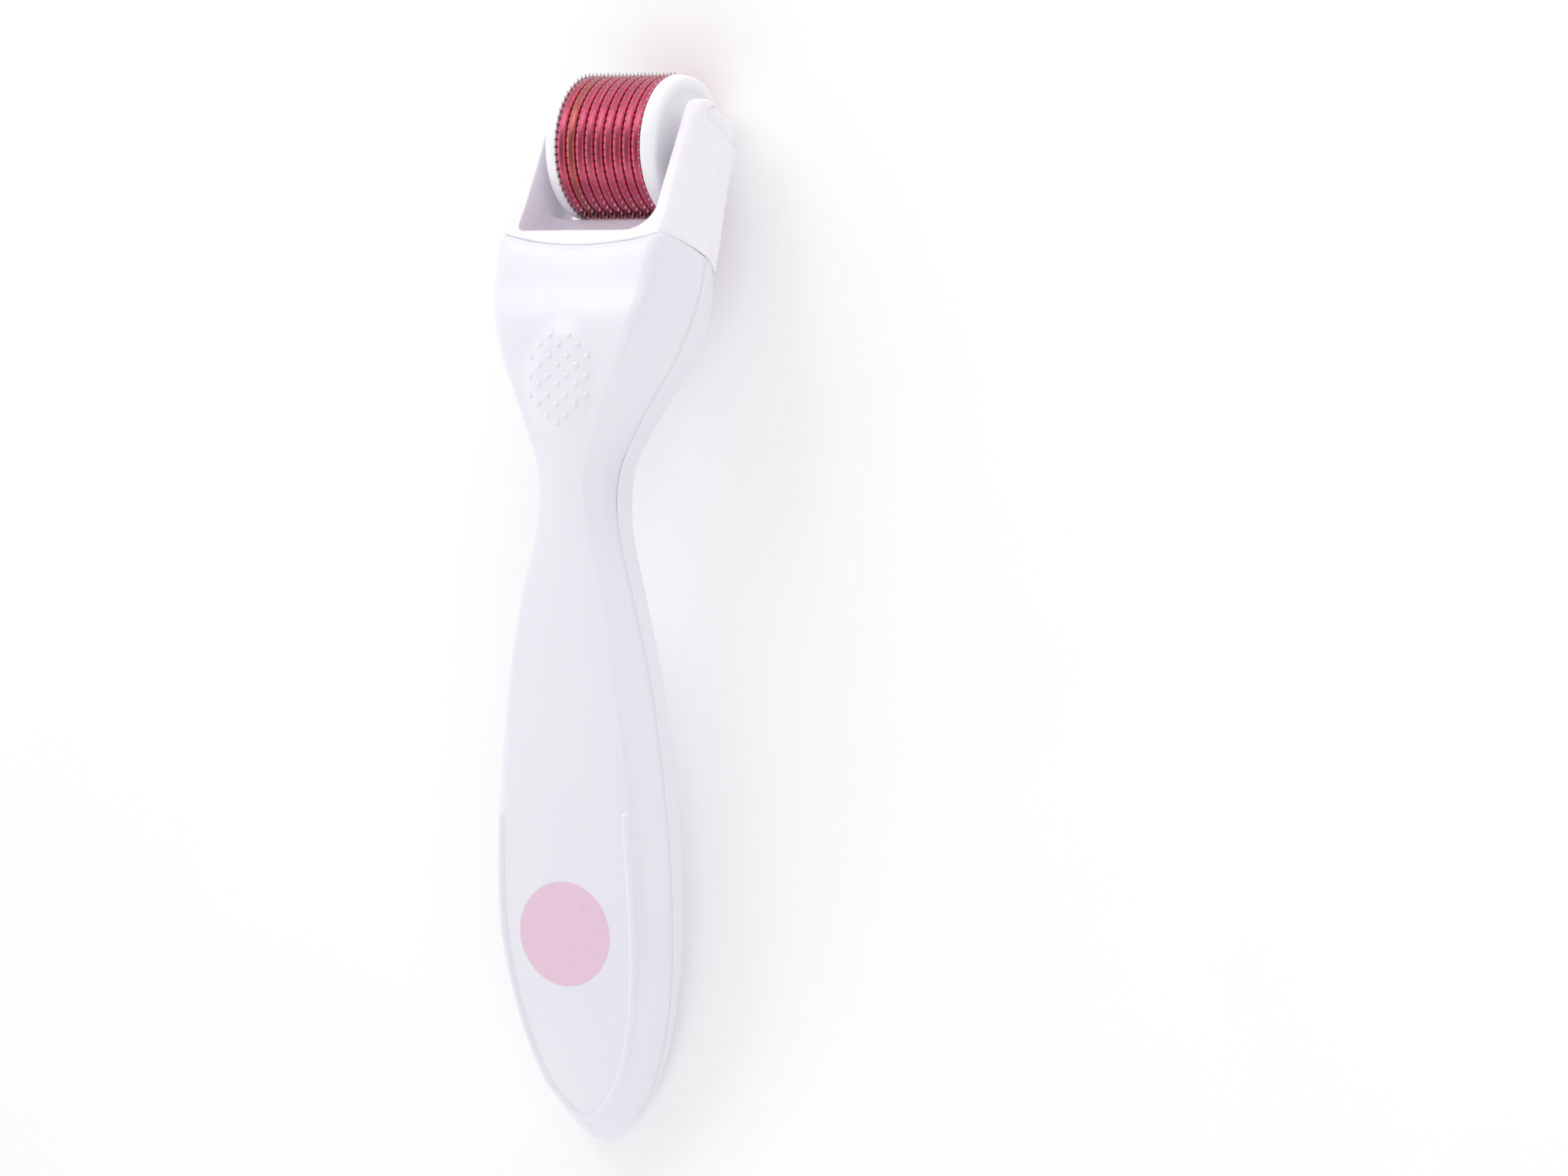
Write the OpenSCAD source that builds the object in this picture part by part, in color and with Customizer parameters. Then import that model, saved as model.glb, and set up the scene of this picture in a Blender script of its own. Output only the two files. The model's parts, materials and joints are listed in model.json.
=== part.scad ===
/* [Handle] */
// Length from the seam with the head to the tail tip
handle_l = 152; // [140:1:165]
// Half width of the head seam
seam_half_w = 19; // [18.5:0.1:19.5]
// Wall thickness of the two shells
wall = 1.4; // [1.2:0.1:1.6]
// How far the head leans back from the handle's long axis, in degrees
lean = 29; // [27:0.5:31]
// Depth of the handle at the head seam
seam_depth = 15.5; // [15:0.1:16]
// Radius of the arched seam line between the head and the handle
seam_arch_r = 50; // [46:1:56]
// Gap of the seam between the head and the handle
seam_gap = 0.15; // [0.1:0.05:0.3]

/* [Head] */
// Gap between the two arms
fork_gap = 26; // [25.6:0.1:26.6]
// Outside half width of the arms at their tips
arm_tip_half_w = 16.5; // [16.2:0.1:17]
// Height of the arm tips above the seam
arm_h = 30.4; // [29.5:0.1:31]
// Front to back depth of the arms
arm_d = 13.8; // [13:0.1:14.2]
// Height of the bar across the foot of the fork
bar_h = 3.3; // [3:0.1:3.8]
// Length of the plug tongue below the spigot lip
tongue_l = 18.2; // [17.5:0.1:18.5]
// Width of the plug tongue
tongue_w = 21; // [20:0.5:21.5]
// Gap between the two hooks of the tongue
hook_gap = 4.1; // [4:0.1:4.4]

/* [Drum] */
// Number of needle discs
disc_count = 10; // [10:10]
// Distance from one disc to the next
disc_pitch = 1.85; // [1.8:0.05:1.9]
// Thickness of one disc
disc_t = 0.3; // [0.2:0.05:0.4]
// Needles on one disc
needle_count = 60; // [48:6:72]
// Radius over the needle tips
tip_r = 12.85; // [12.65:0.1:13.05]
// How far the needles stand out of the spacer rings
needle_h = 0.5; // [0.4:0.05:0.6]
// Radius of the tube that carries the discs
core_r = 9; // [8.5:0.1:9.5]
// Radius of the axle pin
axle_r = 1.5; // [1.3:0.1:1.6]
// Radial running clearance between the axle and the drum
axle_clearance = 0.06; // [0.03:0.01:0.1]
// Height of the axle above the seam, along the head
axle_up = 24; // [23.7:0.1:24.3]
// Distance of the axle behind the head's front face
axle_back = 7.8; // [7.5:0.1:8.1]
// Radial gap between the needle tips and the cradle under the drum
cradle_gap = 0.7; // [0.6:0.05:0.9]

/* [Hidden] */
$fn = 64;
shell_colour = "white";
steel_colour = "silver";

function disc_name(i) = str("needle_disc_", i < 9 ? "0" : "", i + 1);
function ring_name(i) = str("spacer_ring_0", i + 1);

// Two working frames. In the handle frame +Y runs from the tail to the head and +Z out of the front
// face. In the head frame +Y runs up the leaning head, the front face is Z = 0 and the origin is the
// middle of the seam, which lies seam_z below the origin of the handle frame.
seam_z = -4.5;
ring_r = tip_r - needle_h;
drum_half_l = disc_pitch * (disc_count - 1) / 2 + disc_t / 2;
rim_w = 2.3;
cap_half_l = drum_half_l + rim_w;
fork_half_gap = fork_gap / 2;

// The rails that shape the handle, from the seam to the tail tip: the edge of the front face, the
// parting line, and the edge of the back face. Each row is one station, [half width, along, height].
stretch = handle_l / 152;
front_rail = [
    [14.8, -7, -1.4], [13.6, -12.6, 0.5], [12, -18.6, 1.2], [8.9, -25.6, 1.7], [6.5, -31.5, 1.6],
    [4.8, -37, 1.4], [4.45, -42.5, 1.15], [5.5, -49.5, 1.05], [8.5, -61, 1.2], [10.6, -74, 1.2],
    [11.8, -88, 1], [12.6, -103, 0.2], [12.8, -115, -1], [11.7, -126, -2.9], [9.3, -136, -5],
    [5.9, -143.2, -6.6], [0, -147.9, -7.9]];
parting_rail = [
    [18.8, -8.5, -13], [17.4, -15, -11.2], [14.9, -21, -9.8], [11.9, -26.5, -8.6], [9.3, -32.2, -7.2],
    [7.7, -37.2, -5.9], [7.2, -42.5, -5.3], [7.6, -49.5, -5.5], [10.1, -61, -6.3], [12.8, -74, -7],
    [14.6, -88, -7.6], [15.6, -103, -8.5], [15.5, -115.5, -9.6], [14.2, -127, -11.2],
    [11.4, -137.2, -12.9], [7.4, -145.5, -13.9], [0, -152, -13.6]];
back_rail = [
    [16.6, -10.5, -21], [14.6, -17, -21], [12, -23, -19.6], [9.6, -28, -17], [7.8, -33, -14.4],
    [6.5, -37.5, -12.9], [6, -42.5, -12.4], [6.4, -49.5, -12.5], [8.8, -61, -13.3], [11.4, -74, -14],
    [13.2, -88, -14.4], [14.3, -103, -14.8], [14.3, -115, -15.2], [13, -126.5, -16],
    [10.4, -136.5, -16.9], [6.6, -144, -17.3], [0, -149.2, -17.4]];
// How rounded the flank is at each station: 0 is a crisp edge, 1 a full bulge
softness = [0.5, 0.4, 0.3, 0.15, 0, 0, 0, 0, 0, 0.1, 0.3, 0.6, 0.9, 1, 0.8, 0.7, 0.7, 0.7];
front_crown = 0.45;
back_crown = 0.9;

// A point of the seam surface, from its half width and its depth behind the front face
function seam_point(x, depth) =
    let (up = x * x / (2 * seam_arch_r))
    [x, up * cos(lean) + depth * sin(lean), seam_z - up * sin(lean) + depth * cos(lean)];
// The same surface read the other way: how far along the handle it lies at a width and height
function seam_along(x, z) =
    let (up = x * x / (2 * seam_arch_r), depth = (z - seam_z + up * sin(lean)) / cos(lean))
    up * cos(lean) + depth * sin(lean);

front_edges = concat([seam_point(seam_half_w - 3.5, 0.6)], front_rail);
parting_edges = concat([seam_point(seam_half_w, -10.6)], parting_rail);
back_edges = concat([seam_point(seam_half_w - 1.4, -seam_depth)], back_rail);
stations = len(front_edges) - 1;

// A smooth curve through a rail's points, where k counts stations; it meets its mirror image at the tip
function on_rail(rail, k) =
    let (i = min(floor(k), stations - 1), t = k - i, b = rail[i], c = rail[i + 1],
         a = i > 0 ? rail[i - 1] : 2 * b - c,
         d = i + 2 <= stations ? rail[i + 2] : [-b.x, b.y, b.z],
         p = b + 0.5 * t * ((c - a) + t * (2 * a - 5 * b + 4 * c - d + t * (3 * (b - c) + d - a))))
    [max(p.x, 0), p.y * stretch, p.z];
function soft_at(k) =
    let (i = min(floor(k), stations - 1)) softness[i] + (k - i) * (softness[i + 1] - softness[i]);
function bezier(a, b, c, d, t) =
    pow(1 - t, 3) * a + 3 * t * pow(1 - t, 2) * b + 3 * t * t * (1 - t) * c + pow(t, 3) * d;

// Half outlines of one station, from the middle of a face to the parting line. A face is crowned; a
// flank is a curve that is nearly straight where the edge is crisp and bulges where it is soft.
face_steps = 4;
flank_steps = 6;
function face_half(edge, crown) =
    [for (j = [0:face_steps - 1])
        let (q = j / face_steps) [edge.x * q, edge.y, edge.z + crown * (1 - q * q)]];
function flank_half(edge, parting, soft) =
    let (out = parting.x - edge.x, on = parting.y - edge.y, down = parting.z - edge.z,
         near = edge + [out * (0.33 + 0.5 * soft), on * 0.6, down * (0.33 - 0.25 * soft)],
         far = edge + [out * (0.67 + 0.38 * soft), on, down * (0.67 - 0.22 * soft)])
    [for (j = [0:flank_steps]) bezier(edge, near, far, parting, j / flank_steps)];
function on_seam(p, k) = [p.x, p.y * min(k, 1) + seam_along(p.x, p.z) * (1 - min(k, 1)), p.z];
function outer_half(edges, crown, soft, k) =
    let (edge = on_rail(edges, k), parting = on_rail(parting_edges, k))
    concat(face_half(edge, crown * min(1, edge.x / 3)), flank_half(edge, parting, soft));

// The inside of the wall: the outline drawn in towards the middle of the parting line. It closes up
// over the last stations, so that the tail tip is solid.
cavity_end = 16.4;
function inner_half(outline) =
    let (parting = outline[len(outline) - 1], middle = outline[0], height = abs(middle.z - parting.z),
         keep_x = max(0.02, 1 - wall / max(parting.x, 0.1)), keep_z = max(0.02, 1 - wall / height))
    [for (p = outline) [p.x * keep_x, p.y, parting.z + (p.z - parting.z) * keep_z]];
function closed_up(outline, k) =
    let (fade = max(0.02, min(1, (cavity_end - k) / 0.8)), parting = outline[len(outline) - 1])
    [for (p = outline) [p.x * fade, p.y, parting.z + (p.z - parting.z) * fade]];

function mirrored(half) =
    concat([for (j = [len(half) - 1:-1:1]) [-half[j].x, half[j].y, half[j].z]], half);
function reversed(list) = [for (j = [len(list) - 1:-1:0]) list[j]];
// One closed loop of the wall: across the outside, then back along the inside
function wall_loop(edges, crown, k) =
    let (outer = outer_half(edges, crown, soft_at(k), k))
    [for (p = concat(mirrored(outer), reversed(mirrored(closed_up(inner_half(outer), k))))) on_seam(p, k)];

// A shell lofted through all stations, which crowd together towards the tip
loft_steps = 64;
function station_at(j) = let (t = j / loft_steps) (stations - 0.02) * (t + 0.12 * sin(180 * t));
module shell(edges, crown, flip) {
    loops = [for (j = [0:loft_steps]) wall_loop(edges, crown, station_at(j))];
    m = len(loops[0]);
    side = m / 2;
    sides = [for (j = [0:loft_steps - 1], i = [0:m - 1])
        let (a = j * m + i, b = j * m + (i + 1) % m) each [[a, b, b + m], [a, b + m, a + m]]];
    ends = [for (i = [0:side - 2], j = [0, loft_steps])
        let (a = j * m + i, b = j * m + i + 1, c = j * m + m - 2 - i, d = j * m + m - 1 - i)
        each (j == 0 ? [[a, d, b], [b, d, c]] : [[a, b, d], [b, c, d]])];
    faces = concat(sides, ends);
    polyhedron([for (l = loops) each l], flip ? [for (f = faces) [f[2], f[1], f[0]]] : faces, convexity = 8);
}

// The whole roller lies on the drum and on the back of its tail
tail_rest = [-146 * stretch, -17.9];
axle_at = [axle_up * cos(lean) - axle_back * sin(lean), seam_z - axle_up * sin(lean) - axle_back * cos(lean)];
rest_span = tail_rest - axle_at;
lie_angle = 180 + asin(tip_r / norm(rest_span)) - atan2(rest_span.y, rest_span.x);
drum_low = axle_at.x * sin(lie_angle) + axle_at.y * cos(lie_angle) - tip_r;
function lying_y(p) = p.x * cos(lie_angle) - p.y * sin(lie_angle);
middle_y = (lying_y(axle_at) + tip_r + lying_y([-handle_l, -13.6])) / 2;
module lying() translate([0, -middle_y, -drum_low]) rotate([lie_angle, 0, 0]) children();
module leaning() lying() translate([0, 0, seam_z]) rotate([-lean, 0, 0]) children();
module on_axle() leaning() translate([0, axle_up, -axle_back]) rotate([0, 90, 0]) children();

module handle_front_shell() {
    color(shell_colour) lying() shell(front_edges, front_crown, false);
}

module handle_back_shell() {
    color(shell_colour) lying() shell(back_edges, -back_crown, true);
}

// The peg that the tongue's hooks close around, standing on the inside of the back shell
catch_up = -13;
catch_r = hook_gap / 2 - 0.15;
catch_top = -8.6;
catch_foot = -24.4;
module catch_post() {
    color(shell_colour) leaning() translate([0, catch_up, catch_foot]) {
        cylinder(h = catch_top - catch_foot, r = catch_r);
        cylinder(h = 10, r = catch_r + 1);
    }
}

// Outlines of the fork: from the front, and from the side
bar_corner_r = 4;
arm_flare = [[seam_half_w - 0.5, 8], [seam_half_w - 1.3, 14], [seam_half_w - 2.1, 20],
             [arm_tip_half_w, 26.4]];
tip_corner_r = 1.4;
function arc(cx, cy, r, from, to, n = 8) =
    [for (j = [0:n]) let (a = from + (to - from) * j / n) [cx + r * cos(a), cy + r * sin(a)]];
function seam_line(half_w, drop = 0) =
    [for (j = [-8:8]) let (x = half_w * j / 8) [x, x * x / (2 * seam_arch_r) - drop]];
module fork_front() {
    right_side = concat(
        arm_flare,
        arc(arm_tip_half_w - tip_corner_r, arm_h - tip_corner_r, tip_corner_r, 0, 90),
        arc(fork_half_gap + 0.8, arm_h - 0.8, 0.8, 90, 180, 4),
        arc(fork_half_gap - bar_corner_r, bar_h + bar_corner_r, bar_corner_r, 0, -90));
    left_side = [for (p = reversed(right_side)) [-p.x, p.y]];
    polygon(concat(seam_line(seam_half_w, -seam_gap), right_side, left_side));
}
// How round the arm's tip is at the front and at the back
tip_front_r = 2;
tip_back_r = 5;
base_d = seam_depth - 0.2;
module fork_side() {
    polygon(concat(
        [[-1, 0.4], [arm_h - 4 - tip_front_r, 0]],
        arc(arm_h - tip_front_r, -tip_front_r, tip_front_r, 90, 0),
        arc(arm_h - tip_back_r, -arm_d + tip_back_r, tip_back_r, 0, -90),
        [[12, -arm_d], [2, -base_d], [-1, -base_d]]));
}
// The block between the arms: a ramp that rises behind the bar to a lip hollowed out round the drum
ramp = [[bar_h - 0.9, -5.6], [bar_h + 0.6, -5.9], [6.5, -7.2], [9, -9]];
lip_front_d = 10.4;
cradle_r = tip_r + cradle_gap;
cradle_from = asin((lip_front_d - axle_back) / cradle_r);
cradle_to = asin((arm_d - 0.6 - axle_back) / cradle_r);
module cradle_side() {
    polygon(concat(
        [[ramp[0].x, -base_d - 1]], ramp,
        arc(axle_up, -axle_back, cradle_r, 180 + cradle_from, 180 + cradle_to, 4),
        [[axle_up - cradle_r + 1.2, -base_d - 1]]));
}
module fork_body() {
    intersection() {
        union() {
            translate([0, 0, -seam_depth - 1]) linear_extrude(seam_depth + 2) fork_front();
            translate([-fork_half_gap - 1, 0, 0]) rotate([90, 0, 90])
                linear_extrude(fork_gap + 2) cradle_side();
        }
        translate([-seam_half_w - 1, 0, 0]) rotate([90, 0, 90])
            linear_extrude(2 * seam_half_w + 2) fork_side();
        translate([0, -1, 0]) rotate([-90, 0, 0]) linear_extrude(arm_h + 2) fork_plan();
    }
}
// The fork seen along the head: a rounded block that matches the handle's mouth
module fork_plan() {
    x = seam_half_w;
    polygon(concat(
        [[-x + 3.5, -0.4], [x - 3.5, -0.4], [x - 1.6, 2.2], [x - 0.4, 6], [x, 10.6],
         [x - 0.1, seam_depth - 2.2]],
        arc(x - 2.3, seam_depth - 2.2, 2.2, 0, 90, 5),
        arc(-x + 2.3, seam_depth - 2.2, 2.2, 90, 180, 5),
        [[-x, 10.6], [-x + 0.4, 6], [-x + 1.6, 2.2]]));
}
lip_inset = 1.7;
lip_h = 2;
module spigot_lip() {
    intersection() {
        translate([0, 0, -seam_depth]) linear_extrude(seam_depth) lip_front();
        translate([0, -lip_h - 1, 0]) rotate([-90, 0, 0]) linear_extrude(12) lip_plan();
    }
}
module lip_front() {
    half = seam_half_w - lip_inset;
    polygon(concat(seam_line(half, lip_h), [for (p = reversed(seam_line(half))) p + [0, 1]]));
}
module lip_plan() {
    x = seam_half_w - lip_inset - 0.3;
    polygon([[-x + 3.6, 1.9], [x - 3.6, 1.9], [x - 1.6, 4], [x - 0.4, 7], [x, 10.4],
             [x - 0.4, seam_depth - 2.9], [x - 1.6, seam_depth - 2], [-x + 1.6, seam_depth - 2],
             [-x + 0.4, seam_depth - 2.9], [-x, 10.4], [-x + 0.4, 7], [-x + 1.6, 4]]);
}
// The tongue is flat, with a rail down each side, a window for the catch, and two hooks at its end
tongue_back = -12;
tongue_t = 3;
floor_t = 1.8;
floor_w = 11.6;
window = [11, 4.4];
window_top = 8.8;
channel_at = 5.9;
channel_w = 1.9;
hole_at = [5.6, -6];
hole_r = 1.1;
module tongue_outline() {
    half = tongue_w / 2;
    end = -lip_h - tongue_l;
    difference() {
        polygon([[-half, 0], [-half, end + 2.5], [-half + 1.5, end],
                 [half - 1.5, end], [half, end + 2.5], [half, 0]]);
        translate([-window.x / 2, -lip_h - window_top - window.y]) square(window);
        translate([-hook_gap / 2, end - 1]) square([hook_gap, tongue_l - window_top]);
        polygon([[0, end + 3.2], [-hook_gap / 2 - 1.6, end - 0.1], [hook_gap / 2 + 1.6, end - 0.1]]);
    }
}
module plug_tongue() {
    end = lip_h + tongue_l;
    channel_l = tongue_l - 1.5;
    difference() {
        translate([0, 0, tongue_back]) linear_extrude(tongue_t) tongue_outline();
        translate([-floor_w / 2, -end - 1, tongue_back + floor_t]) cube([floor_w, end - lip_h + 1, 2]);
        for (x = [-channel_at - channel_w, channel_at])
            translate([x, -lip_h - channel_l, tongue_back + 1]) cube([channel_w, channel_l, 3]);
        for (x = [-hole_at.x, hole_at.x])
            translate([x, hole_at.y, tongue_back - 1]) cylinder(h = 6, r = hole_r);
    }
}
pin_half_l = 15.3;
module head_fork() {
    color(shell_colour) leaning() difference() {
        union() {
            fork_body();
            spigot_lip();
            plug_tongue();
        }
        translate([-pin_half_l, axle_up, -axle_back]) rotate([0, 90, 0])
            cylinder(h = 2 * pin_half_l, r = axle_r);
    }
}

module axle_pin() {
    color(steel_colour) on_axle() cylinder(h = 2 * pin_half_l, r = axle_r, center = true);
}

bore_r = axle_r + axle_clearance;
module drum_core() {
    color(shell_colour) on_axle() difference() {
        cylinder(h = 2 * drum_half_l, r = core_r, center = true);
        cylinder(h = 2 * drum_half_l + 2, r = bore_r, center = true);
    }
}

// A cap with a rounded rim and a dished face, whose boss keeps the drum clear of the arm
boss_end = fork_half_gap - 0.6;
module end_cap() {
    rim = cap_half_l - drum_half_l;
    color(shell_colour) rotate_extrude() polygon([
        [bore_r, drum_half_l], [ring_r - 0.1, drum_half_l], [ring_r + 0.1, drum_half_l + 0.3],
        [ring_r - 0.15, drum_half_l + 0.55 * rim], [ring_r - 0.8, cap_half_l - 0.15],
        [ring_r - 1.4, cap_half_l], [ring_r - 2.1, cap_half_l - 0.1], [ring_r - 2.8, cap_half_l - 0.9],
        [ring_r - 4, drum_half_l + 0.7], [4.4, drum_half_l + 0.5], [3.2, drum_half_l + 0.8],
        [2.9, boss_end], [bore_r, boss_end]]);
}
module end_cap_left() on_axle() mirror([0, 0, 1]) end_cap();
module end_cap_right() on_axle() end_cap();

// Disc i counts from the left. Every other disc is turned by half a tooth.
function disc_x(i) = (i - (disc_count - 1) / 2) * disc_pitch;
tooth_depth = 1.1;
module needle_disc(i) {
    step = 180 / needle_count;
    turn = i % 2 * step;
    color(steel_colour) on_axle() translate([0, 0, disc_x(i) - disc_t / 2])
        linear_extrude(disc_t) difference() {
            polygon([for (j = [0:2 * needle_count - 1])
                let (r = j % 2 == 0 ? tip_r : tip_r - tooth_depth, a = j * step + turn)
                [r * cos(a), r * sin(a)]]);
            circle(core_r);
        }
}
module spacer_ring(i) {
    from = disc_x(i) + disc_t / 2;
    to = disc_x(i + 1) - disc_t / 2;
    color("crimson") on_axle() rotate_extrude() polygon([
        [core_r, from], [ring_r - 0.2, from], [ring_r, from + 0.35], [ring_r, to - 0.35],
        [ring_r - 0.2, to], [core_r, to]]);
}

handle_front_shell();
handle_back_shell();
catch_post();
head_fork();
axle_pin();
drum_core();
end_cap_left();
end_cap_right();
for (i = [0:disc_count - 1]) needle_disc(i);
for (i = [0:disc_count - 2]) spacer_ring(i);
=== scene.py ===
"""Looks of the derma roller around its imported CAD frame: shells, fork, drum, materials, stage."""

import json
import math

import bmesh
import bpy
import numpy as np
from mathutils import Matrix, Vector
from mathutils.bvhtree import BVHTree
from mathutils.kdtree import KDTree


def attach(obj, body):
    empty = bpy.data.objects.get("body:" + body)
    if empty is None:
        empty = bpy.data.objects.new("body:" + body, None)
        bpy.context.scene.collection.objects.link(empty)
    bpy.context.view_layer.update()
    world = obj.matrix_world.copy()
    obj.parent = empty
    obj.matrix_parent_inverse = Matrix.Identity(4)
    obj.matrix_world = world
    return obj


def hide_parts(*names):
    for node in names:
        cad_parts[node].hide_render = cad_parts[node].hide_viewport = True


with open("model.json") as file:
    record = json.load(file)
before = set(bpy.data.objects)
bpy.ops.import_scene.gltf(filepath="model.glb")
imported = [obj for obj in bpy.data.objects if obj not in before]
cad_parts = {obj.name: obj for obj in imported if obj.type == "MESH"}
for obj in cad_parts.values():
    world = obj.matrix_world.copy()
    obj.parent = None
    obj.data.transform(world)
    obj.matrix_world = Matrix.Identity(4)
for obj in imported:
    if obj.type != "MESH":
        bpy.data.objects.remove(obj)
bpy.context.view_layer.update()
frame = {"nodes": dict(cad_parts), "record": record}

MM = 0.001

# ---------------------------------------------------------------------------------------------
# Working frames, from the joints. Head frame: x right, up along the leaning head, out of its
# front face. Handle frame: x right, along from tail to head, out of the front face.
# ---------------------------------------------------------------------------------------------
joints = {joint["name"]: joint for joint in frame["record"]["behaviour"]["joints"]}
AXLE = Vector(joints["drum_spin"]["pos_m"])
HEAD_UP = Vector(joints["head_pull"]["axis"]).normalized()
RIGHT = Vector((1, 0, 0))
HEAD_OUT = RIGHT.cross(HEAD_UP)
AXLE_UP = 24.0
AXLE_BACK = 7.8
LEAN = math.radians(29)
SEAM_Z = -4.5
SEAM_ARCH_R = 50.0
SEAM_DEPTH = 15.5
SEAM_HALF_W = 19.0

head_matrix = Matrix.Identity(4)
for column, direction in enumerate((RIGHT, HEAD_UP, HEAD_OUT)):
    for row in range(3):
        head_matrix[row][column] = direction[row] * MM
head_matrix.translation = AXLE - (AXLE_UP * HEAD_UP - AXLE_BACK * HEAD_OUT) * MM
handle_matrix = head_matrix @ Matrix.Rotation(LEAN, 4, "X") @ Matrix.Translation((0, 0, -SEAM_Z))
axle_matrix = Matrix.Translation(AXLE) @ Matrix.Rotation(math.pi / 2, 4, "Y") @ Matrix.Scale(MM, 4)


# ---------------------------------------------------------------------------------------------
# Helpers for meshes
# ---------------------------------------------------------------------------------------------
def place(points, matrix):
    """Points in mm of a working frame, as metres of the shared frame."""
    m = np.array(matrix)
    return np.asarray(points) @ m[:3, :3].T + m[:3, 3]


def new_object(name, points, faces, material, body, node=None):
    """A smooth-shaded piece that rides on a body, and stands for a CAD node if one is given."""
    mesh = bpy.data.meshes.new(name)
    mesh.from_pydata([tuple(map(float, p)) for p in points], [], faces)
    mesh.validate()
    obj = bpy.data.objects.new(name, mesh)
    bpy.context.scene.collection.objects.link(obj)
    mesh.materials.append(material)
    mesh.shade_smooth()
    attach(obj, body)
    if node:
        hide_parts(node)
    return obj


def grid_faces(rows, columns, wrap=False, start=0):
    """Quads of a grid of points stored row by row; wrap joins the last column to the first."""
    width = columns if wrap else columns - 1
    return [
        (start + r * columns + c, start + r * columns + (c + 1) % columns,
         start + (r + 1) * columns + (c + 1) % columns, start + (r + 1) * columns + c)
        for r in range(rows - 1) for c in range(width)
    ]


def capped_grid(rows, start=0):
    """Faces of a stack of loops, with both ends closed by strips between opposite points."""
    count, columns = rows.shape[:2]
    faces = grid_faces(count, columns, wrap=True, start=start)
    half = columns // 2
    for base in (start, start + (count - 1) * columns):
        faces += [(base + i, base + i + 1, base + columns - 2 - i, base + columns - 1 - i)
                  for i in range(half - 1)]
        if columns % 2:
            faces.append((base + half - 1, base + half, base + half + 1))
    return faces


def outward(obj):
    """Turns every face of a closed mesh outwards."""
    mesh = bmesh.new()
    mesh.from_mesh(obj.data)
    bmesh.ops.remove_doubles(mesh, verts=mesh.verts, dist=1e-7)
    bmesh.ops.recalc_face_normals(mesh, faces=mesh.faces)
    mesh.to_mesh(obj.data)
    mesh.free()
    return obj


def sharpen(obj, degrees):
    """Edges that turn more than this stay crisp."""
    obj.data.set_sharp_from_angle(angle=math.radians(degrees))


def circle(steps):
    """Angles evenly round a circle."""
    return np.linspace(0, 2 * math.pi, steps, endpoint=False)


def swept(profile, steps):
    """Points and faces of a closed ring: a profile of (radius, z) points swept round the z axis."""
    n = len(profile)
    points = [(r * math.cos(a), r * math.sin(a), z) for a in circle(steps) for r, z in profile]
    faces = [(i * n + j, i * n + (j + 1) % n, (i + 1) % steps * n + (j + 1) % n, (i + 1) % steps * n + j)
             for i in range(steps) for j in range(n)]
    return points, faces


def lathe(name, profile, matrix, material, body, node, steps):
    """A piece made of one swept ring."""
    points, faces = swept(profile, steps)
    return outward(new_object(name, place(points, matrix), faces, material, body, node))


def smooth(a, b, x):
    """A soft step from 0 at a to 1 at b."""
    t = np.clip((x - a) / (b - a), 0, 1)
    return t * t * (3 - 2 * t)


def between(ends, share):
    """The number a share of the way from the first of two to the second."""
    return ends[0] + (ends[1] - ends[0]) * share


def seam_arch(x):
    """How far the arched seam between handle and head rises at x."""
    return x * x / (2 * SEAM_ARCH_R)


def rounded(points, radius, steps=4):
    """A closed outline with each corner cut to an arc-like curve; radius is one number or one each."""
    points = np.asarray(points, float)
    radii = np.broadcast_to(radius, len(points))
    out = []
    for i, corner in enumerate(points):
        before, after = points[i - 1], points[(i + 1) % len(points)]
        if radii[i] <= 0:
            out.append(corner)
            continue
        a = corner + (before - corner) * min(0.5, radii[i] / np.linalg.norm(before - corner))
        b = corner + (after - corner) * min(0.5, radii[i] / np.linalg.norm(after - corner))
        for t in np.linspace(0, 1, steps + 1):
            out.append((1 - t) ** 2 * a + 2 * t * (1 - t) * corner + t * t * b)
    return np.array(out)


# ---------------------------------------------------------------------------------------------
# Materials
# ---------------------------------------------------------------------------------------------
def add_node(tree, kind, inputs=(), **settings):
    """A node with its settings; inputs maps a socket's name or number to a value or another socket."""
    node = tree.nodes.new(kind)
    for name, value in settings.items():
        setattr(node, name, value)
    for socket, value in dict(inputs).items():
        if isinstance(value, bpy.types.NodeSocket):
            tree.links.new(value, node.inputs[socket])
        else:
            node.inputs[socket].default_value = value
    return node


def new_material(name, roughness, metallic=0.0, coat=0.0, specular=0.5):
    """A material with its shader and its node tree."""
    mat = bpy.data.materials.new(name)
    mat.use_nodes = True
    shader = mat.node_tree.nodes["Principled BSDF"]
    shader.inputs["Roughness"].default_value = roughness
    shader.inputs["Metallic"].default_value = metallic
    shader.inputs["Coat Weight"].default_value = coat
    shader.inputs["Coat Roughness"].default_value = 0.25
    shader.inputs["Specular IOR Level"].default_value = specular
    return mat, shader, mat.node_tree


def surface_noise(tree, scale, stretch=(1, 1, 1), detail=3.0):
    """Noise in the object's own metres, finer along the axes with a larger stretch."""
    place_at = add_node(tree, "ShaderNodeTexCoord").outputs["Object"]
    stretched = add_node(tree, "ShaderNodeMapping", {"Vector": place_at, "Scale": stretch}).outputs[0]
    inputs = {"Vector": stretched, "Scale": scale, "Detail": detail}
    return add_node(tree, "ShaderNodeTexNoise", inputs).outputs[0]


def mixed(tree, factor, a, b):
    """A colour between a and b."""
    node = add_node(tree, "ShaderNodeMix", data_type="RGBA")
    tree.links.new(factor, node.inputs[0])
    node.inputs[6].default_value = (*a, 1)
    node.inputs[7].default_value = (*b, 1)
    return node.outputs[2]


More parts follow.
